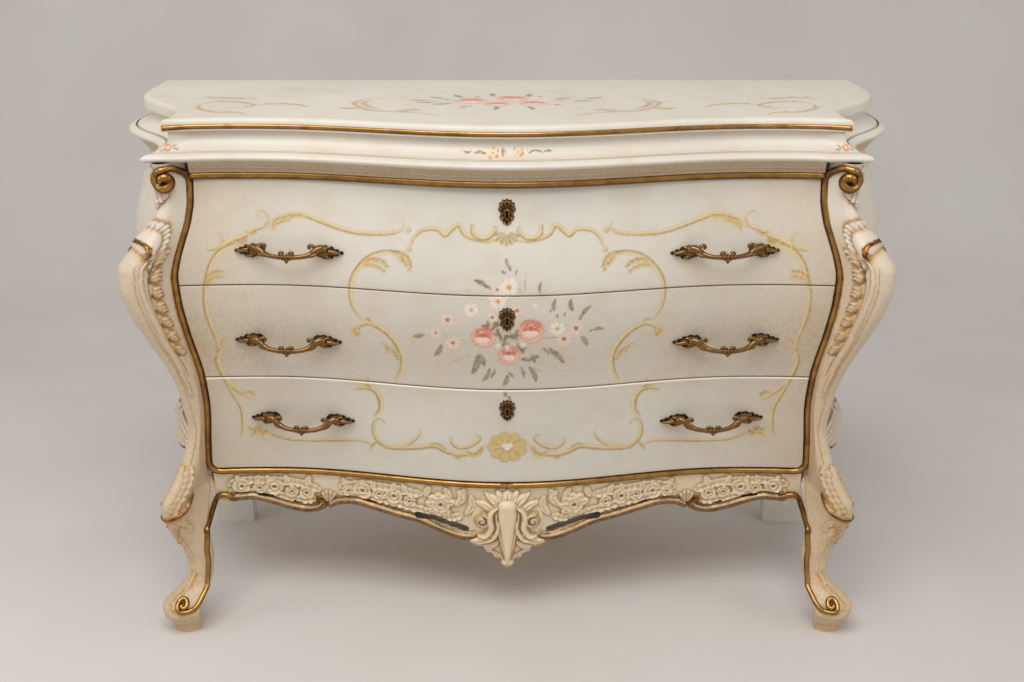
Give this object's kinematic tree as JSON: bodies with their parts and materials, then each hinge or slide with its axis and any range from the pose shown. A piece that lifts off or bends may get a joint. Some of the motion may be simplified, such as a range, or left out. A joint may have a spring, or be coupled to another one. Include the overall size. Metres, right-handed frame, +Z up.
{
  "type": "chest of drawers",
  "caption": "Serpentine bombe chest of drawers in cream paint with gilded beads, carved corner posts, cabriole legs, a carved apron and cast bail pulls.",
  "frame": {"origin": "centre of the bounding box's underside, on the floor", "axes": "+X to the right and longest, +Y to the back, +Z up; the drawers face -Y"},
  "size_m": [1.3626, 0.492, 0.9],
  "materials": {
    "cream_paint": "aged cream paint, satin, with ochre wear and painted decoration",
    "antique_gilt": "gilded wood, darkened with age, half gloss",
    "antique_bronze": "cast, antique patina, worn bright on raised places",
    "lock_brass": "plain, slightly tarnished",
    "bare_wood": "unpainted, planed"
  },
  "bodies": {
    "chest": {"apron_cartouche": "cream_paint", "apron_carvings": "cream_paint", "apron_edge_scrolls": "antique_gilt", "back_panel": "bare_wood", "bottom_board": "bare_wood", "collar_rings": "antique_gilt", "cornice_bead": "antique_gilt", "cornice_board": "cream_paint", "cornice_moulding": "cream_paint", "divider_lower": "bare_wood", "divider_upper": "bare_wood", "drawer_runners": "bare_wood", "frame_bead_bottom": "antique_gilt", "frame_bead_sides": "antique_gilt", "frieze_boards": "cream_paint", "frieze_front": "cream_paint", "front_apron": "cream_paint", "front_post_left": "cream_paint", "front_post_right": "cream_paint", "knee_carvings": "cream_paint", "leg_beads": "antique_gilt", "rear_posts": "cream_paint", "scroll_capitals": "antique_gilt", "shoulder_carvings": "cream_paint", "side_apron_left": "cream_paint", "side_apron_right": "cream_paint", "side_apron_rims": "antique_gilt", "side_panel_left": "cream_paint", "side_panel_right": "cream_paint", "top_board": "cream_paint", "top_edge_bead": "antique_gilt", "top_rail": "bare_wood"},
    "drawer_1": {"drawer_1_back": "bare_wood", "drawer_1_bottom": "bare_wood", "drawer_1_escutcheon": "antique_bronze", "drawer_1_front": "cream_paint", "drawer_1_lock": "lock_brass", "drawer_1_pull_screws": "lock_brass", "drawer_1_pulls": "antique_bronze", "drawer_1_sides": "bare_wood"},
    "lock_bolt_1": {"drawer_1_lock_bolt": "lock_brass"},
    "drawer_2": {"drawer_2_back": "bare_wood", "drawer_2_bottom": "bare_wood", "drawer_2_escutcheon": "antique_bronze", "drawer_2_front": "cream_paint", "drawer_2_lock": "lock_brass", "drawer_2_pull_screws": "lock_brass", "drawer_2_pulls": "antique_bronze", "drawer_2_sides": "bare_wood"},
    "lock_bolt_2": {"drawer_2_lock_bolt": "lock_brass"},
    "drawer_3": {"drawer_3_back": "bare_wood", "drawer_3_bottom": "bare_wood", "drawer_3_escutcheon": "antique_bronze", "drawer_3_front": "cream_paint", "drawer_3_lock": "lock_brass", "drawer_3_pull_screws": "lock_brass", "drawer_3_pulls": "antique_bronze", "drawer_3_sides": "bare_wood"},
    "lock_bolt_3": {"drawer_3_lock_bolt": "lock_brass"}
  },
  "joints": [
    {"name": "drawer_1_slide", "type": "slide", "parent": "chest", "child": "drawer_1", "axis": [0, -1, 0], "range_m": [0, 0.3]},
    {"name": "drawer_2_slide", "type": "slide", "parent": "chest", "child": "drawer_2", "axis": [0, -1, 0], "range_m": [0, 0.3]},
    {"name": "drawer_3_slide", "type": "slide", "parent": "chest", "child": "drawer_3", "axis": [0, -1, 0], "range_m": [0, 0.3]},
    {"name": "lock_bolt_1_slide", "type": "slide", "parent": "drawer_1", "child": "lock_bolt_1", "axis": [0, 0, 1], "range_m": [0, 0.009]},
    {"name": "lock_bolt_2_slide", "type": "slide", "parent": "drawer_2", "child": "lock_bolt_2", "axis": [0, 0, 1], "range_m": [0, 0.009]},
    {"name": "lock_bolt_3_slide", "type": "slide", "parent": "drawer_3", "child": "lock_bolt_3", "axis": [0, 0, 1], "range_m": [0, 0.009]}
  ]
}
